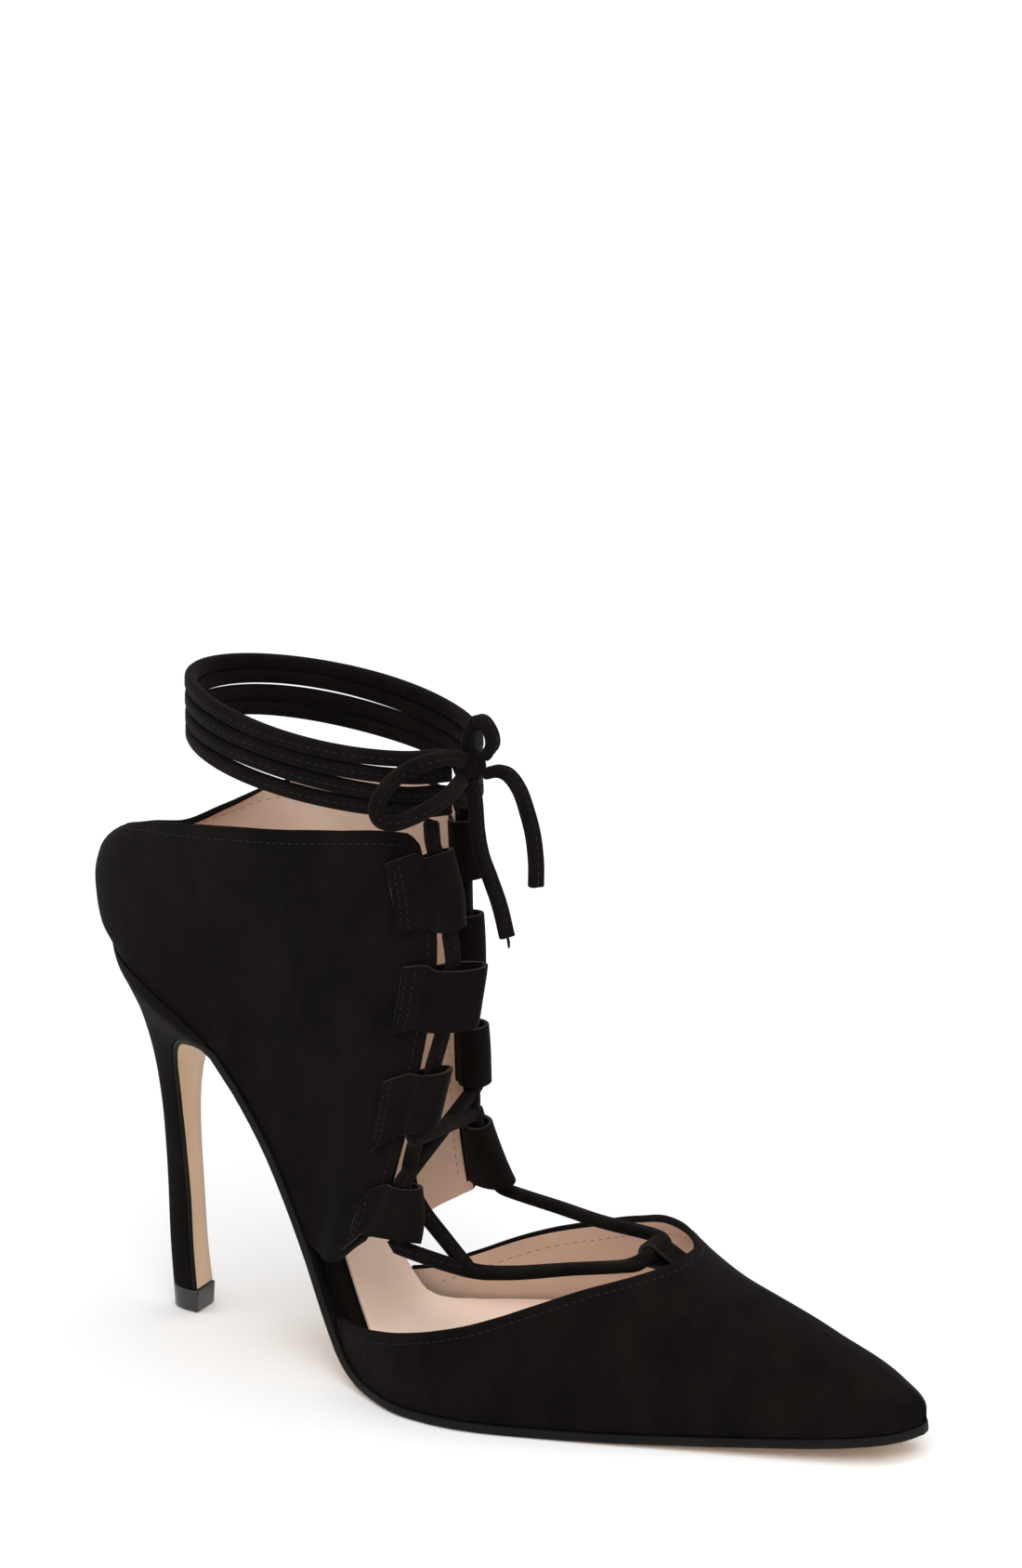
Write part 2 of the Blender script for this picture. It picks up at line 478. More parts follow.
def quarter_surface(side, along, up):
    """Points of the quarter's outside: a patch between its four borders, indexed [along, up]."""
    along, up = np.atleast_1d(along).astype(float), np.atleast_1d(up).astype(float)
    foot, collar = quarter_foot(side), quarter_border(side, COLLAR)
    back, front = quarter_counter(), quarter_border(side, FRONT)
    q, v = along[:, None, None], up[None, :, None]
    low, high = smooth(foot, along)[:, None, :], smooth(collar, along)[:, None, :]
    rear, fore = smooth(back, up)[None], smooth(front, up)[None]
    corners = (
        (1 - q) * (1 - v) * foot[0, 1:]
        + q * (1 - v) * foot[-1, 1:]
        + (1 - q) * v * collar[0, 1:]
        + q * v * collar[-1, 1:]
    )
    return (1 - v) * low + v * high + (1 - q) * rear + q * fore - corners


def quarter_frame(side, along, up):
    """Points, forward directions and outward directions of the quarter at matching places."""
    nudge = 0.01
    point, ahead, outward = [], [], []
    for q, v in zip(along, up):
        here = quarter_surface(side, q, v)[0, 0]
        forward = (quarter_surface(side, min(q + nudge, 1), v) - quarter_surface(side, q - nudge, v))[0, 0]
        upward = (quarter_surface(side, q, min(v + nudge, 1)) - quarter_surface(side, q, v - nudge))[0, 0]
        point.append(here)
        ahead.append(unit(forward))
        outward.append(unit(np.cross(forward, upward)) * (1 if side == 0 else -1))
    return np.array(point), np.array(ahead), np.array(outward)


def behind_front(side, v, distance):
    """Places along the quarter at these distances behind its front edge, at one height."""
    along = np.linspace(0.75, 1, 26)
    line = quarter_surface(side, along, v)[:, 0]
    return np.interp(distance, run_along(line[::-1]), along[::-1])


def tab_front(side, edge):
    """Where one edge of a tab meets the quarter's front: place, lean, point, and the loop's directions."""
    v, seam, reach, rise, pull, _ = edge
    lean = rise / (seam * TAB_SEAM + reach * TAB_REACH)
    v_front = v + lean * seam * TAB_SEAM / FRONT_RISE
    point, ahead, outward = (found[0] for found in quarter_frame(side, [1], [v_front]))
    level = unit(ahead * (1, 1, 0))
    return v_front, lean, point, unit(level + pull * np.array([0, (1, -1)[side], 0])), outward


def tab_row(side, edge):
    """One edge of a tab: from its sewn rear end round the fold to the lining."""
    v, seam, reach, _, _, _ = edge
    v_front, lean, front, forward, out = tab_front(side, edge)
    outside = SEAM_GAP + SUEDE_STRIP / 2
    inside = WALL + outside
    distance = seam * TAB_SEAM * np.linspace(1, 0, 5)
    q = behind_front(side, v, distance)
    point, _, outward = quarter_frame(side, q, np.linspace(v, v_front, len(q)))
    path = list(point + outside * outward)
    loop = [(f, across) for f, across in TAB_LOOP] + [(f, -across) for f, across in TAB_LOOP[-2::-1]]
    for f, across in loop:
        ahead = f * reach * TAB_REACH
        path.append(front + ahead * (forward + (0, 0, lean)) + (across * TAB_BULGE - WALL / 2) * out)
    q = behind_front(side, v_front, TAB_INSIDE * np.linspace(0, 1, 3))
    point, _, outward = quarter_frame(side, q, np.full(len(q), v_front))
    return path + list(point - inside * outward)


def tab_edges(row):
    """The lower edge of a tab, its middle and its upper edge."""
    low, high = np.array(row[1]), np.array(row[2])
    return low, (low + high) / 2, high


def tab_axis(side, row):
    """Where the lace passes through a tab: below it, through it, above it."""
    ends = []
    for edge in tab_edges(row):
        _, lean, front, forward, out = tab_front(side, edge)
        ahead = edge[5] * edge[2] * TAB_REACH
        ends.append(front + ahead * (forward + (0, 0, lean)) - WALL / 2 * out)
    low, middle, high = ends
    return [low + 0.25 * (low - middle), low, middle, high, high + 0.25 * (high - middle)]


def breast_path():
    """The sole leather's line up the heel's breast and along the sole, with its edges and thickness."""
    rows = smooth(BREAST, np.linspace(0, 1, 24))
    low = TIP_HEIGHT + GAP
    height = low + (HEEL_HEIGHT - low) * rows[:, 1]
    edges, thick = BALL_WIDTH * rows[:, 2:4], SOLE_THICK * rows[:, 4]
    breast = np.column_stack([LENGTH * rows[:, 0], height, edges, thick])
    share = SOLE_SHARES[SOLE_SHARES > WAIST_START - 0.001]
    sole = np.column_stack([sole_line(share), sole_edges(share), np.full(len(share), SOLE_THICK)])
    rows = np.vstack([breast, sole])
    run = unit(np.gradient(rows[:, :2], axis=0))
    return rows, np.stack([-run[:, 1], run[:, 0]], axis=1), len(breast)


def heel_ring(x_back, x_front, z_back, z_front, half, count=21):
    """A D: straight across the front, round behind."""
    angle = np.linspace(0, math.pi, count)
    back = np.sin(angle) ** HEEL_ROUND
    return np.stack([
        x_front + (x_back - x_front) * back,
        -half * np.cos(angle),
        z_front + (z_back - z_front) * back,
    ], axis=1)


def wrap_route(first):
    """Two turns round the ankle; the lace climbs to its second turn behind the knot."""
    points = []
    levels = range(len(WRAP_OUTER_SIDE))
    for degrees in np.linspace(*WRAP_ENDS, 2 * WRAP_POINTS):
        level = first + np.interp(degrees, CLIMB, (0, 1))
        angle = math.radians(degrees)
        side = 0.5 + 0.5 * math.sin(angle)
        outer, inner = (np.interp(level, levels, heights) for heights in (WRAP_OUTER_SIDE, WRAP_INNER_SIDE))
        height = side * outer + (1 - side) * inner
        x, y = WRAP_HALF[0] * math.cos(angle), -WRAP_HALF[1] * math.sin(angle)
        z = height + WRAP_SLOPE[0] * x + WRAP_SLOPE[1] * y
        points.append(np.add(WRAP_MIDDLE, (x, y, z)))
    return points


def nodes_of(name):
    made = bpy.data.materials.new(name)
    made.use_nodes = True
    return made, made.node_tree, made.node_tree.nodes["Principled BSDF"]


def put(node, values):
    """Set a node's own sockets."""
    for name, value in values.items():
        node.inputs[name].default_value = value


def noise(tree, scale, detail=4.0, roughness=0.55, stretch=(1, 1, 1)):
    """A noise in the object's own metres."""
    coords = tree.nodes.new("ShaderNodeTexCoord")
    mapping = tree.nodes.new("ShaderNodeMapping")
    made = tree.nodes.new("ShaderNodeTexNoise")
    put(mapping, {"Scale": stretch})
    put(made, {"Scale": scale, "Detail": detail, "Roughness": roughness})
    tree.links.new(coords.outputs["Object"], mapping.inputs["Vector"])
    tree.links.new(mapping.outputs["Vector"], made.inputs["Vector"])
    return made.outputs["Fac"]


def tint(tree, shader, source, colors, low):
    """Base colour from dark to light, as the source goes from low to as far above a half."""
    made = tree.nodes.new("ShaderNodeValToRGB")
    for element, place, color in zip(made.color_ramp.elements, (low, 1 - low), colors):
        element.position = place
        element.color = (*color, 1)
    tree.links.new(source, made.inputs["Fac"])
    tree.links.new(made.outputs["Color"], shader.inputs["Base Color"])


def bumps(tree, shader, *layers):
    """Bump layers, each (height source, strength, distance in metres), one on the other."""
    last = None
    for source, strength, distance in layers:
        bump = tree.nodes.new("ShaderNodeBump")
        put(bump, {"Strength": strength, "Distance": distance})
        tree.links.new(source, bump.inputs["Height"])
        if last:
            tree.links.new(last, bump.inputs["Normal"])
        last = bump.outputs["Normal"]
    tree.links.new(last, shader.inputs["Normal"])


def suede_finish(name, sheen, *colors):
    """Napped leather: brushed patches, a fine fibre bump and a soft sheen."""
    made, tree, shader = nodes_of(name)
    tint(tree, shader, noise(tree, 95, 5, 0.62, (1, 1, 0.55)), colors, 0.34)
    put(shader, {
        "Roughness": 0.93, "Specular IOR Level": 0.08, "Sheen Weight": sheen, "Sheen Roughness": 0.42,
        "Sheen Tint": (0.62, 0.55, 0.50, 1),
    })
    fibre = noise(tree, 2600, 3, 0.7, (1, 1, 0.45))
    nap = noise(tree, 620, 4, 0.6)
    bumps(tree, shader, (nap, 0.45, 0.0004), (fibre, 0.75, 0.00018))
    return made


def leather_finish(name, rough, *colors, grain=1500, coat=0.0, gloss=0.35):
    """Smooth leather: faint mottling and a fine grain."""
    made, tree, shader = nodes_of(name)
    tint(tree, shader, noise(tree, 55, 4, 0.5), colors, 0.30)
    shine = tree.nodes.new("ShaderNodeMapRange")
    put(shine, {"To Min": rough - 0.07, "To Max": rough + 0.07})
    tree.links.new(noise(tree, 210, 3), shine.inputs["Value"])
    tree.links.new(shine.outputs["Result"], shader.inputs["Roughness"])
    put(shader, {"Specular IOR Level": gloss, "Coat Weight": coat, "Coat Roughness": 0.35})
    cells = tree.nodes.new("ShaderNodeTexVoronoi")
    put(cells, {"Scale": grain})
    coords = tree.nodes.new("ShaderNodeTexCoord")
    tree.links.new(coords.outputs["Object"], cells.inputs["Vector"])
    wrinkle = noise(tree, 260, 5, 0.6)
    bumps(tree, shader, (wrinkle, 0.20, 0.0003), (cells.outputs["Distance"], 0.18, 0.0001))
    return made


def hard_finish(name, mottling, colors, settings, grain=None):
    """Thread or plastic; mottling is a noise's settings, grain those of a bump with strength and distance."""
    made, tree, shader = nodes_of(name)
    tint(tree, shader, noise(tree, *mottling), colors, 0.35)
    put(shader, settings)
    if grain:
        bumps(tree, shader, (noise(tree, *grain[0]), *grain[1:]))
    return made


def finishes():
    return {
        "suede": suede_finish("suede", 0.035, (0.0032, 0.0023, 0.0019), (0.0060, 0.0045, 0.0038)),
        "lace": suede_finish("lace_suede", 0.05, (0.0036, 0.0027, 0.0023), (0.0068, 0.0052, 0.0044)),
        "raw": suede_finish("raw_edge", 0.1, (0.016, 0.0135, 0.012), (0.036, 0.031, 0.028)),
        "lining": leather_finish("lining", 0.52, (0.65, 0.475, 0.375), (0.73, 0.55, 0.44)),
        "sock": leather_finish("sock_leather", 0.46, (0.90, 0.70, 0.575), (0.95, 0.765, 0.64), grain=1900),
        "tan": leather_finish(
            "sole_leather", 0.42, (0.58, 0.405, 0.26), (0.66, 0.47, 0.31), grain=1300, coat=0.12
        ),
        "edge": leather_finish(
            "blacked_edge", 0.62, (0.0045, 0.004, 0.0035), (0.0085, 0.0075, 0.007), grain=2200, gloss=0.12
        ),
        "thread": hard_finish(
            "thread", (900, 2), ((0.0060, 0.0054, 0.0056), (0.0115, 0.0108, 0.0112)),
            {"Roughness": 0.7, "Specular IOR Level": 0.2}, ((5200, 2, 0.5), 0.4, 0.00008),
        ),
        "pale": hard_finish(
            "pale_thread", (900, 2), ((0.34, 0.21, 0.145), (0.44, 0.29, 0.21)), {"Roughness": 0.6}
        ),
        "plastic": hard_finish(
            "tip_plastic", (300, 3), ((0.006, 0.0055, 0.0055), (0.010, 0.0095, 0.0095)),
            {"Roughness": 0.22, "Coat Weight": 0.2, "Coat Roughness": 0.12}, ((1400, 3), 0.10, 0.0001),
        ),
    }


def placed(name, data):
    obj = bpy.data.objects.new(name, data)
    bpy.context.scene.collection.objects.link(obj)
    return obj


def piece(name, mesh, used, slot_name, *nodes, sharp=40):
    """A shown piece on the one body, in place of these solids."""
    obj = placed(name, mesh)
    for finish in used:
        mesh.materials.append(finish)
    mesh.shade_smooth()
    mesh.set_sharp_from_angle(angle=math.radians(sharp))
    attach(obj, "root")
    if nodes:
        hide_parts(*nodes)
    return obj


def rounded(obj, width, segments=2, angle=50):
    bevel = obj.modifiers.new("Edge", "BEVEL")
    bevel.width = width
    bevel.segments = segments
    bevel.limit_method = "ANGLE"
    bevel.angle_limit = math.radians(angle)


def solid_mesh(name, points, faces, parts=None):
    """A mesh with its faces turned outward; parts gives each face its material."""
    mesh = bpy.data.meshes.new(name)
    mesh.from_pydata([tuple(p) for p in points], [], faces)
    if parts is not None:
        mesh.polygons.foreach_set("material_index", parts.astype(np.int32))
    shape = bmesh.new()
    shape.from_mesh(mesh)
    bmesh.ops.recalc_face_normals(shape, faces=shape.faces)
    shape.to_mesh(mesh)
    shape.free()
    return mesh


def ring_faces(count, size, base=0, closed=False):
    """Faces between rings of this size, and from the last ring to the first if closed."""
    faces = []
    for i in range(count if closed else count - 1):
        for j in range(size):
            k, m = (j + 1) % size, (i + 1) % count
            corners = (i * size + j, i * size + k, m * size + k, m * size + j)
            faces.append(tuple(base + corner for corner in corners))
    return faces


def ring_mesh(name, rings, part_of_ring=None, cap=0):
    """A closed solid through rings; part_of_ring and cap give a ring's faces and the ends their materials."""
    rings = np.array(rings)
    count, size = rings.shape[:2]
    faces = ring_faces(count, size)
    faces.append(tuple(range(size)))
    faces.append(tuple((count - 1) * size + j for j in reversed(range(size))))
    parts = None
    if part_of_ring is not None:
        parts = np.concatenate([np.tile(part_of_ring, count - 1), [cap, cap]])
    return solid_mesh(name, rings.reshape(-1, 3), faces, parts)


def wall_rings(outside, inside):
    """Closed rings round a wall: up its outside, over the rounded top and down its inside."""
    rings = []
    for out, inn in zip(outside, inside):
        middle, half = (out[-1] + inn[-1]) / 2, (out[-1] - inn[-1]) / 2
        crown = RIM_CROWN * np.linalg.norm(half) * unit(out[-1] - out[-3])
        turn = np.linspace(0, math.pi, RIM_STEPS + 2)[1:-1, None]
        rings.append(np.vstack([out, middle + half * np.cos(turn) + crown * np.sin(turn), inn[::-1]]))
    part = np.zeros(2 * outside.shape[1] + RIM_STEPS)
    part[outside.shape[1] + RIM_STEPS:-1] = 1
    return np.array(rings), part


def stitch_mesh(name, rows, length, radius):
    """Threads' visible stitches as one mesh; each row is (places, directions, outward)."""
    points, faces = [], []
    sides, count = STITCH_SIDES, len(STITCH_SHAPE)
    angles = np.arange(sides) * 2 * math.pi / sides
    for places, along, out in rows:
        for place, t, n in zip(places, along, out):
            n = unit(n - t * np.dot(n, t))
            b = np.cross(t, n)
            base = len(points)
            for run, size, rise in STITCH_SHAPE:
                centre = place + t * run * length + n * rise * radius
                for a in angles:
                    points.append(centre + radius * size * (math.cos(a) * b + 0.8 * math.sin(a) * n))
            faces += ring_faces(count, sides, base)
            faces.append(tuple(base + j for j in reversed(range(sides))))
            faces.append(tuple(base + (count - 1) * sides + j for j in range(sides)))
    return solid_mesh(name, points, faces)


def sew(name, rows, use, length=STITCH, radius=THREAD, finish="thread", slot_name="suede"):
    """Rows of stitches as one piece."""
    return piece(name, stitch_mesh(name, rows, length, radius), [use[finish]], slot_name)


def sew_lining(name, rows, use):
    return sew(name, rows, use, LINING_STITCH, LINING_THREAD, "pale", "lining")


def evenly(points, normals, pitch):
    """Places, directions and outward directions at an even pitch along a line on a surface."""
    along = run_along(points)
    at = np.arange(0.5 * pitch, along[-1] - 0.3 * pitch, pitch)
    run = unit(np.gradient(points, axis=0))
    found = []
    for values in (points, run, normals):
        found.append(np.stack([np.interp(at, along, values[:, k]) for k in range(3)], axis=1))
    return found[0], unit(found[1]), unit(found[2])


def read_at(column, row):
    low = int(np.clip(math.floor(row), 0, len(column) - 2))
    return column[low] + (column[low + 1] - column[low]) * (row - low)


def line_below(sheet, normals, distance):
    """The line this far below a sheet's upper edge, with the sheet's outward directions along it."""
    line, out = [], []
    for column, normal in zip(sheet, normals):
        row = len(column) - 1 - np.interp(distance, run_along(column[::-1]), np.arange(len(column)))
        line.append(read_at(column, row))
        out.append(read_at(normal, row))
    return np.array(line), np.array(out)


def grid_normals(grid):
    return unit(np.cross(np.gradient(grid, axis=0), np.gradient(grid, axis=1)))


def vamp_sheet(inset):
    """Fine points of the vamp, from the outer wing round the throat to the inner wing."""
    place = VAMP_PLACES
    foot, top, outer, inner = smooth(VAMP, place).T
    crowding = smooth(VAMP_CROWDING, place)[:, 0]
    _, base, rise, _, _ = vamp_section(top)
    sides = []
    for side, height in ((0, outer), (1, inner)):
        angle = np.arcsin(np.clip((THROAT_HEIGHT * height - base) / rise, 0.02, 1))
        angle[0] = math.pi / 2
        rows = []
        for i in range(len(place)):
            start = 0.0 if i else math.pi / 2
            turn = start + (angle[i] - start) * VAMP_UP ** crowding[i]
            share = foot[i] + (top[i] - foot[i]) * VAMP_UP
            rows.append(vamp_point(share, turn if side == 0 else math.pi - turn, inset))
        sides.append(np.array(rows))
    return np.concatenate([sides[0][::-1], sides[1][1:]])


def troughs(points, normals, creases):
    """Soft troughs and ridges in a sheet."""
    moved = points.copy()
    for middle, direction, half_length, half_width, depth in creases:
        offset = points - np.array(middle)
        direction = unit(np.array(direction, float))
        run = offset @ direction
        across = np.linalg.norm(offset - run[..., None] * direction, axis=-1)
        fall = np.exp(-((run / half_length) ** 2) * 2) * np.exp(-((across / half_width) ** 2) * 2)
        moved -= normals * (depth * fall)[..., None]
    return moved


def make_vamp(use):
    outside, inside = vamp_sheet(0.0), vamp_sheet(WALL)
    normals = grid_normals(outside)
    if normals[len(VAMP_PLACES) - 1, -5, 2] < 0:
        normals = -normals
    outside = troughs(outside, normals, VAMP_CREASES)
    rings, part = wall_rings(outside, inside)
    piece("vamp_suede", ring_mesh("vamp_suede", rings, part), [use["suede"], use["lining"]], "suede", "vamp")
    line, out = line_below(outside, normals, VAMP_SEAM)
    sew("vamp_stitches", [evenly(line[4:-4], out[4:-4], SEAM_PITCH)], use)
    line, out = line_below(inside, normals, VAMP_LINING_SEAM)
    sew_lining("vamp_lining_stitches", [evenly(line[6:-6], -out[6:-6], LINING_PITCH)], use)


def make_quarter(use):
    outer, inner = (quarter_surface(side, QUARTER_ALONG, QUARTER_UP) for side in (0, 1))
    outside = np.concatenate([outer[::-1], inner[1:]])
    normals = grid_normals(outside)
    if normals[len(QUARTER_ALONG) - 1, 10, 0] > 0:
        normals = -normals
    inside = outside - WALL * normals
    outside = troughs(outside, normals, QUARTER_CREASES)
    rings, part = wall_rings(outside, inside)
    mesh = ring_mesh("quarter_suede", rings, part)
    rounded(piece("quarter_suede", mesh, [use["suede"], use["lining"]], "suede", "quarter"), 0.0005, 2, 60)
    line, out = line_below(outside, normals, COLLAR_SEAM)
    rows = [evenly(line[3:-3], out[3:-3], SEAM_PITCH)]
    line, out = line_below(inside, normals, COLLAR_LINING_SEAM)
    lining_rows = [evenly(line[6:-6], -out[6:-6], LINING_PITCH)]
    for way in (-1, 1):
        for sheet, distance, kept, face in (
            (outside, FRONT_SEAM, rows, 1),
            (inside, FRONT_LINING_SEAM, lining_rows, -1),
        ):
            # The columns near this front edge, turned so that the edge is their upper end
            edge, out = (grid[::way][39::-1].transpose(1, 0, 2)[3:-4] for grid in (sheet, normals))
            line, out = line_below(edge, out, distance)
            kept.append(evenly(line, face * out, FRONT_PITCH))
    sew("quarter_stitches", rows, use)
    sew_lining("quarter_lining_stitches", lining_rows, use)


def cutter(name, outline):
    """A block with this outline in X and Z, wider than the shoe."""
    rings = [[(x, y, z) for x, z in outline] for y in (-BALL_WIDTH, BALL_WIDTH)]
    return placed(name, ring_mesh(name, rings))


def cut_by(mesh, cutters):
    """The mesh with these cutters taken away, as a new mesh; the cutters are removed."""
    obj = placed(mesh.name, mesh)
    for other in cutters:
        boolean = obj.modifiers.new(other.name, "BOOLEAN")
        boolean.operation = "DIFFERENCE"
        boolean.object = other
        boolean.solver = "EXACT"
    bpy.context.view_layer.update()
    made = bpy.data.meshes.new_from_object(obj.evaluated_get(bpy.context.evaluated_depsgraph_get()))
    for other in [obj, *cutters]:
        bpy.data.objects.remove(other)
    return made


def make_outsole(use, rows, inward):
    rings = []
    for (x, z, outer, inner, thick), (nx, nz) in zip(rows, inward):
        lift = min(SOLE_BEVEL, thick * 0.4)
        lower = [(outer, lift), (outer + lift, 0), (inner - lift, 0), (inner, lift)]
        corners = (*lower[1:], (inner, thick), (outer, thick), lower[0])
        rings.append([(x + h * nx, y, z + h * nz) for y, h in corners])
    mesh = ring_mesh("outsole_leather", rings, [0, 1, 1, 1, 1, 1], cap=1)
    piece("outsole_leather", mesh, [use["tan"], use["edge"]], "sole_leather", "outsole", sharp=60)


def make_heel(use, rows, inward, breast_count):
    low = TIP_HEIGHT + GAP
    table = [(i / (len(HEEL) - 1), *row) for i, row in enumerate(HEEL)]
    rings = []
    for x_back, x_front, z_back, z_front, half in smooth(table, np.linspace(0, 1, HEEL_SECTIONS)):
        z_back, z_front = (low + (HEEL_HEIGHT - low) * z for z in (z_back, z_front))
        sizes = (LENGTH * x_back, LENGTH * x_front, z_back, z_front, BALL_WIDTH * half)
        rings.append(heel_ring(*sizes, HEEL_POINTS))
    seat = sole_line(np.linspace(0, SEAT_END, 50), INSOLE_LIFT - GAP)
    behind = seat[0] - CUTTER_REACH * unit(seat[1] - seat[0])
    above = HEEL_HEIGHT + 2 * CUTTER_REACH
    outline = [tuple(behind), *map(tuple, seat), (seat[-1, 0], above), (behind[0], above)]
    seat_cutter = cutter("seat_cutter", outline)
    end = breast_count + 2
    line = rows[:end, :2] + (rows[:end, 4:5] + GAP) * inward[:end]
    ahead = line[-1, 0] + CUTTER_REACH
    outline = [(line[0, 0], 0.0), *map(tuple, line), (ahead, line[-1, 1]), (ahead, 0.0)]
    breast_cutter = cutter("breast_cutter", outline)
    mesh = cut_by(ring_mesh("heel_suede", rings), [seat_cutter, breast_cutter])
    piece("heel_suede", mesh, [use["suede"]], "suede", "heel", sharp=50)


def make_top_piece(use):
    rings = []
    for z, share in TOP_PIECE:
        ring = heel_ring(-TIP_LENGTH / 2, TIP_LENGTH / 2, z, z, TIP_WIDTH / 2, TIP_POINTS)
        rings.append(ring * (share, share, 1))
    mesh = ring_mesh("top_piece_plastic", rings)
    rounded(piece("top_piece_plastic", mesh, [use["plastic"]], "tip_plastic", "top_piece"), 0.0003)


def slab_mesh(name, share, low, high, edges):
    under, over = sole_line(share, low), sole_line(share, high)
    rings = []
    for (x, z), (x_over, z_over), y in zip(under, over, edges):
        rings.append([(x, b, z) for b in y] + [(x_over, b, z_over) for b in y[::-1]])
    return ring_mesh(name, rings)


def make_insole(use):
    share = np.concatenate([SEAT_SHARES, np.linspace(0.036, 0.94, 150), [0.945, 0.951, 0.957]])
    top = INSOLE_LIFT + INSOLE_THICK
    mesh = slab_mesh("insole_cover", share, INSOLE_LIFT, top, foot_edges(share, top))
    rounded(piece("insole_cover", mesh, [use["suede"]], "suede", "insole"), 0.0009, 3)
    share = np.concatenate([SEAT_SHARES + 0.003, np.linspace(0.040, 0.92, 150), [0.930, 0.938, 0.945]])
    top = SOCK_LIFT + SOCK_THICK
    rim = smooth(SOCK_RIM, share)
    edges = foot_edges(share, top) + np.hstack([OUTER_RIM * rim, -INNER_RIM * rim]) + np.array([GAP, -GAP])
    mesh = slab_mesh("sock_cover", share, SOCK_LIFT, top, edges)
    rounded(piece("sock_cover", mesh, [use["sock"]], "lining", "sock"), 0.0003)


def make_strip(name, grid, use, node):
    """A strip of suede round a sheet of points [along, across], with raw edges."""
    lift = grid_normals(grid) * SUEDE_STRIP / 2
    across = grid.shape[1]
    part = np.zeros(2 * across)
    part[across - 1] = part[-1] = 1
    mesh = ring_mesh(name, np.concatenate([grid + lift, (grid - lift)[:, ::-1]], axis=1), part, cap=1)
    rounded(piece(name, mesh, [use["suede"], use["raw"]], "suede", node), 0.0002)


def make_tabs(use):
    share = np.linspace(0, 1, 9)
    swell = np.sin(np.linspace(0, 1, TAB_POINTS) * math.pi)[:, None] * np.cos((share - 0.5) * math.pi)
    for side, table in ((0, TABS_OUTER), (1, TABS_INNER)):
        for name, *edges in table:
            low, high = np.array(edges)
            lines = [through(tab_row(side, low + (high - low) * s), TAB_POINTS) for s in share]
            _, _, out = quarter_frame(side, [0.95], [(low[0] + high[0]) / 2])
            grid = np.array(lines).transpose(1, 0, 2) + (TAB_SWELL * swell)[..., None] * out[0]
            make_strip(name + "_suede", grid, use, name)
            reach = run_along(grid[:, 4])[1:]
            rows = []
            for back, left_off in TAB_SEAMS:
                i = int(np.searchsorted(reach, back)) + 1
                line = grid[i][left_off:len(share) - left_off]
                normal = np.repeat(out, len(line), axis=0)
                rows.append(evenly(line + normal * (SUEDE_STRIP / 2 - 0.00003), normal, TAB_PITCH))
            sew(name + "_stitches", rows, use, TAB_STITCH)


def make_throat_loop(use):
    """The strip round the lace at the throat, with its two ends under the vamp."""
    x, y, z = THROAT_PASS[1]
    radius = LACE / 2 + SEAM_GAP + SUEDE_STRIP / 2
    throat_share, beyond = VAMP[0][2], VAMP[0][2] + 0.04
    drop = THROAT_HEIGHT * (smooth(RIDGE, throat_share) - smooth(RIDGE, beyond))[0, 0]
    slope = math.atan2(drop, LENGTH * (beyond - throat_share))
    turn = np.linspace(math.radians(60), math.radians(300), 25) - slope
    path = [(x + radius * math.cos(a), z + radius * math.sin(a)) for a in turn]
    throat = vamp_point(np.array([throat_share]), np.array([math.pi / 2]))[0]
    under = WALL + 2 * SEAM_GAP + SUEDE_STRIP / 2
    back = np.array([math.cos(slope), -math.sin(slope)])
    down = np.array([-math.sin(slope), -math.cos(slope)])
    start = np.array([throat[0], throat[2]]) + under * down
    upper = [tuple(start + step * back) for step in (LOOP_TUCK, SEAM_GAP)]
    lower = [tuple(start + (SUEDE_STRIP + 2 * GAP) * down + step * back) for step in (SEAM_GAP, LOOP_TUCK)]
    across = np.linspace(-LOOP_WIDTH / 2, LOOP_WIDTH / 2, 5)
    grid = np.array([[(a, y + half, b) for half in across] for a, b in upper + path + lower])
    make_strip("throat_loop_suede", grid, use, "throat_loop")


def lace_frames(points, twist):
    """Directions out of a lace's flat face and across it."""
    run = unit(np.gradient(points, axis=0))
    radial = points - np.array([ANKLE_X, 0, 0])
    radial[:, 2] = 0
    radial = unit(radial)
    upright = 1 - np.abs(np.sum(run * radial, axis=1, keepdims=True)) ** 2
    out = radial * upright + np.array([0, 0, 1]) * (1 - upright)
    out = unit(out - run * np.sum(out * run, axis=1, keepdims=True))
    for _ in range(6):
        out = unit(np.vstack([out[:1], (out[:-2] + 2 * out[1:-1] + out[2:]) / 4, out[-1:]]))
        out = unit(out - run * np.sum(out * run, axis=1, keepdims=True))
    across = np.cross(run, out)
    turn = twist * np.linspace(0, 1, len(points))[:, None]
    return out * np.cos(turn) + across * np.sin(turn), across * np.cos(turn) - out * np.sin(turn)


def strip_section(count, power):
    """A strip's rounded section: across it and out of it, from -1 to 1."""
    angle = np.arange(count) * 2 * math.pi / count
    return (np.sign(part) * np.abs(part) ** power for part in (np.cos(angle), np.sin(angle)))


def lace_rings(points, wide=LACE_WIDE, thin=LACE_THIN, twist=0.0):
    out, across = lace_frames(points, twist)
    c, s = strip_section(16, 0.72)
    groove = 1 - 0.10 * np.exp(-((c / 0.22) ** 2))
    rings = points[:, None] + wide / 2 * c[None, :, None] * across[:, None]
    return rings + thin / 2 * (s * groove)[None, :, None] * out[:, None], out


def make_lace_piece(name, points, use, *nodes, twist=0.0):
    rings, out = lace_rings(points, twist=twist)
    obj = piece(name, ring_mesh(name, rings), [use["lace"]], "suede", *nodes, sharp=60)
    row = evenly(points + out * (LACE_THIN / 2 * THREAD_SINK), out, LACE_PITCH)
    return obj, sew(name + "_thread", [row], use, STITCH, LACE_THREAD)


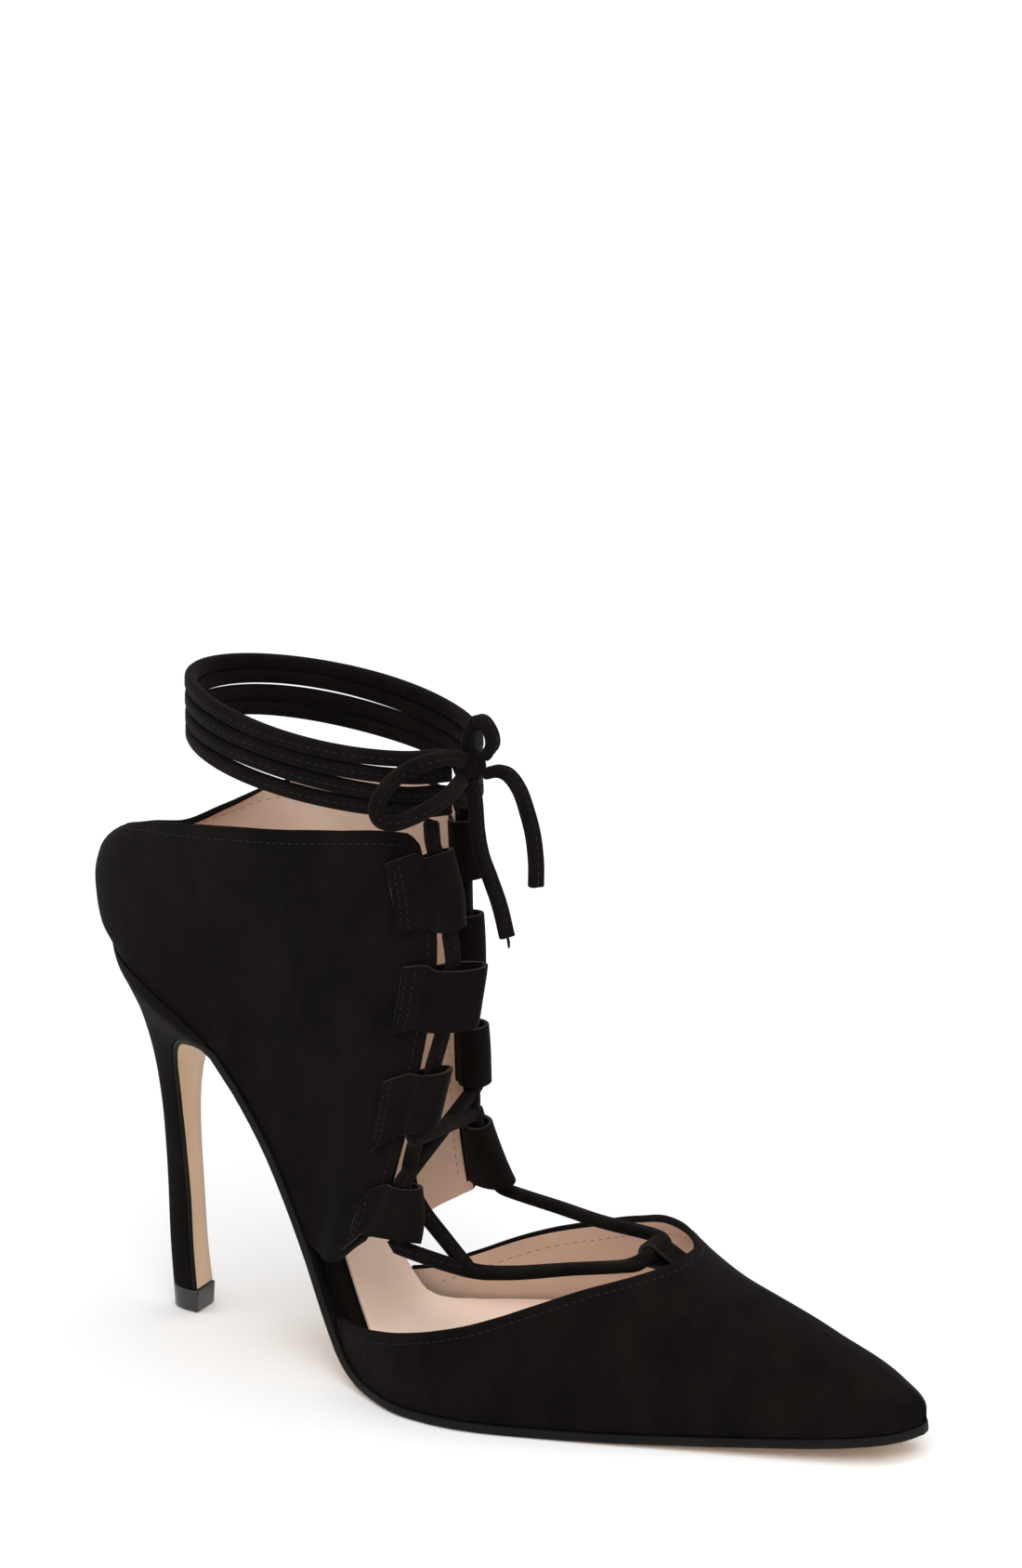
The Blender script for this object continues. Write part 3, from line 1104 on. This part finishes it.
def make_run(use):
    """The lace through the loop and the tabs, with its two crossings."""
    outer = [tab_axis(0, row) for row in TABS_OUTER]
    inner = [tab_axis(1, row) for row in TABS_INNER]
    down = [
        TOP_OUTER, *outer[0][::-1], *outer[1][::-1], *outer[2][::-1], *inner[3][::-1], *RUN_INNER[::-1],
    ]
    up = [*RUN_OUTER, *outer[3], *inner[2], *inner[1], *inner[0], TOP_INNER]
    make_lace_piece("lace_run_suede", through([*down, *THROAT_PASS, *up], 420), use, "lace_run")
    make_lace_piece("lace_run_second", through([*RUN_SECOND, *outer[2][:2]], 40), use)
    make_lace_piece("lace_run_third", through([*inner[3][1:], *inner[2][:2]], 40), use)


def make_cords(use):
    """The wraps, the knot, the bow and the two free ends of the one lace."""
    for name, first in FIRST_LEVELS.items():
        route = through(wrap_route(first), 260)
        turn = np.linspace(0, 1, len(route))
        waver = WRAP_WAVER * np.sin(turn * math.pi) * np.sin(2 * math.pi * (5.2 * turn + 0.31 * first))
        route[:, 2] += waver
        obj, thread = make_lace_piece(name + "_lace", route, use, name)
    large, small = through(BOW_LARGE, 90), through(BOW_SMALL, 60)
    long_end, short_end = through(END_LONG, 80), through(END_SHORT, 80)
    knot = make_knot(use)
    fibres = make_fray(use, short_end)
    small_obj, small_thread = make_lace_piece("bow_loop_small_lace", small, use, "bow_loop_small")
    for name, route, extra, far, twist in (
        ("bow_loop_large", large, [], "knot", 0.0),
        ("lace_end_long", long_end, [], "bare", 0.5),
        ("lace_end_short", short_end, [knot, small_obj, small_thread, fibres], "bare", 0.5),
    ):
        obj, thread = make_lace_piece(name + "_lace", route, use, name, twist=twist)


def make_fray(use, route):
    """The short end's tip has come apart into a few fibres."""
    tip, run = route[-1], unit(route[-1] - route[-4])
    places, ways, outs = [], [], []
    for side, lean, reach in FIBRES:
        way = unit(run + np.array([0.35, -0.9, 0.0]) * lean * 0.5)
        places.append(tip + np.array([0.0006, -0.0012, 0.0]) * side + way * reach)
        ways.append(way)
        outs.append(np.array([0.9, -0.4, 0.1]))
    return sew("lace_fibres", [(places, ways, outs)], use, FIBRE_LENGTH, FIBRE_HALF, "lace")


def make_knot(use):
    """The knot: one strand bound over two that pass behind it."""
    middle = np.array(KNOT_MIDDLE)
    angle = np.linspace(0, 2 * math.pi, 40, endpoint=False)
    band = np.stack([0.0030 * np.cos(angle), -0.0006 * np.sin(angle), 0.0036 * np.sin(angle)], axis=1)
    meshes = [closed_band("knot_band", middle + band, middle, *KNOT_BAND)]
    t = np.linspace(0, 1, 26)
    bow = np.sin(t * math.pi)
    for tilt in (-1, 1):
        arc = np.stack([0.0020 * bow - 0.0004, -0.0042 + 0.0084 * t, tilt * (0.0016 - 0.0012 * bow)], axis=1)
        meshes.append(ring_mesh("knot_strand", lace_rings(middle + arc, *KNOT_STRAND)[0]))
    shape = bmesh.new()
    for mesh in meshes:
        shape.from_mesh(mesh)
        bpy.data.meshes.remove(mesh)
    mesh = bpy.data.meshes.new("knot_lace")
    shape.to_mesh(mesh)
    shape.free()
    return piece("knot_lace", mesh, [use["lace"]], "suede", "knot", sharp=60)


def closed_band(name, line, middle, wide, thin):
    """A flat strip closed on itself round a middle."""
    out = unit(line - middle)
    run = unit(np.roll(line, -1, axis=0) - np.roll(line, 1, axis=0))
    across = unit(np.cross(run, out))
    c, s = strip_section(14, 0.75)
    rings = line[:, None] + wide / 2 * c[None, :, None] * across[:, None]
    rings = rings + thin / 2 * s[None, :, None] * out[:, None]
    return solid_mesh(name, rings.reshape(-1, 3), ring_faces(len(line), len(c), closed=True))


def make_camera():
    data = bpy.data.cameras.new("camera")
    data.sensor_fit = "VERTICAL"
    data.sensor_height = data.sensor_width = 36.0
    data.lens = CAMERA_LENS
    data.clip_start = 0.05
    camera = placed("camera", data)
    azimuth, elevation = (math.radians(angle) for angle in CAMERA_ANGLES)
    away = Vector((
        math.sin(azimuth) * math.cos(elevation),
        -math.cos(azimuth) * math.cos(elevation),
        math.sin(elevation),
    ))
    camera.location = Vector(CAMERA_AIM) + away * CAMERA_DISTANCE
    camera.rotation_euler = (-away).to_track_quat("-Z", "Y").to_euler()
    bpy.context.scene.camera = camera


def make_studio():
    """A plain pale floor, a pale surround and soft lights."""
    mesh = bpy.data.meshes.new("floor")
    corners = ((-1, -1), (1, -1), (1, 1), (-1, 1))
    mesh.from_pydata([(FLOOR_SIZE * x, FLOOR_SIZE * y, FLOOR_Z) for x, y in corners], [], [(0, 1, 2, 3)])
    finish, _, shader = nodes_of("floor")
    put(shader, {"Base Color": (0.93, 0.93, 0.93, 1), "Roughness": 0.7, "Specular IOR Level": 0.2})
    mesh.materials.append(finish)
    placed("floor", mesh)

    world = bpy.data.worlds.new("studio")
    bpy.context.scene.world = world
    world.use_nodes = True
    put(world.node_tree.nodes["Background"], {"Color": (1, 1, 1, 1), "Strength": SURROUND})
    bpy.context.scene.view_settings.view_transform = "Standard"
    overhead = bpy.data.lights.new("overhead", "SUN")
    overhead.energy = SUN_STRENGTH
    overhead.angle = math.radians(SUN_SPREAD)
    placed("overhead", overhead).rotation_euler = (math.radians(8), math.radians(10), 0)
    for name, place, size, watts in LAMPS:
        data = bpy.data.lights.new(name, "AREA")
        data.shape = "DISK"
        data.size = size
        data.energy = watts
        light = placed(name, data)
        light.location = place
        light.rotation_euler = (Vector(LAMP_AIM) - Vector(place)).to_track_quat("-Z", "Y").to_euler()


def main():
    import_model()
    make_camera()
    use = finishes()
    make_cords(use)
    make_run(use)
    make_vamp(use)
    make_quarter(use)
    rows, inward, breast_count = breast_path()
    make_outsole(use, rows, inward)
    make_heel(use, rows, inward, breast_count)
    make_top_piece(use)
    make_insole(use)
    make_tabs(use)
    make_throat_loop(use)
    make_studio()


main()
